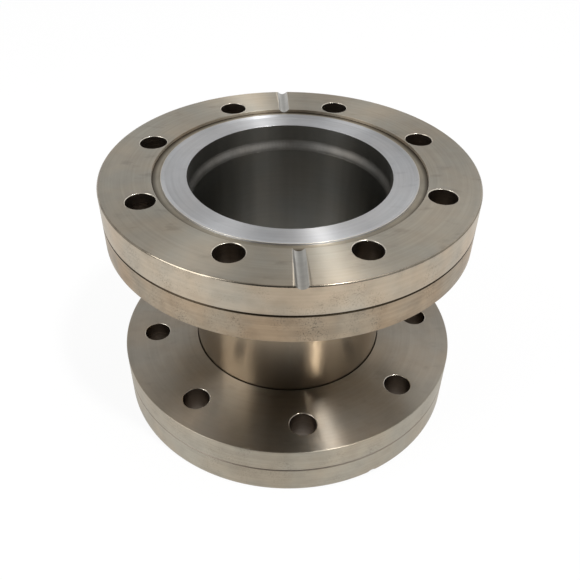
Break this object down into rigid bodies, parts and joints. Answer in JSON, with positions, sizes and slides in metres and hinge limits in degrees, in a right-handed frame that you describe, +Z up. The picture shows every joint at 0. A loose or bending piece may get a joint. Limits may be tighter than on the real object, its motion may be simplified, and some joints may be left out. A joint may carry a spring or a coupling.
{
  "type": "flanged vacuum nipple",
  "caption": "Short stainless steel tube with a round bolted vacuum flange at each end, with knife-edge seals, gasket recesses and leak-check grooves.",
  "frame": {"origin": "centre of the lower sealing face", "axes": "+Z up the tube to the upper sealing face; the upper leak-check grooves lie along -Y and +Y"},
  "size_m": [0.1134, 0.1134, 0.081],
  "materials": {
    "machined_steel": "turned",
    "tube_steel": "polished along its length",
    "weld_steel": "welded"
  },
  "bodies": {
    "root": {"upper_flange": "machined_steel", "lower_flange": "machined_steel", "tube": "tube_steel", "upper_weld": "weld_steel", "lower_weld": "weld_steel"}
  },
  "joints": []
}
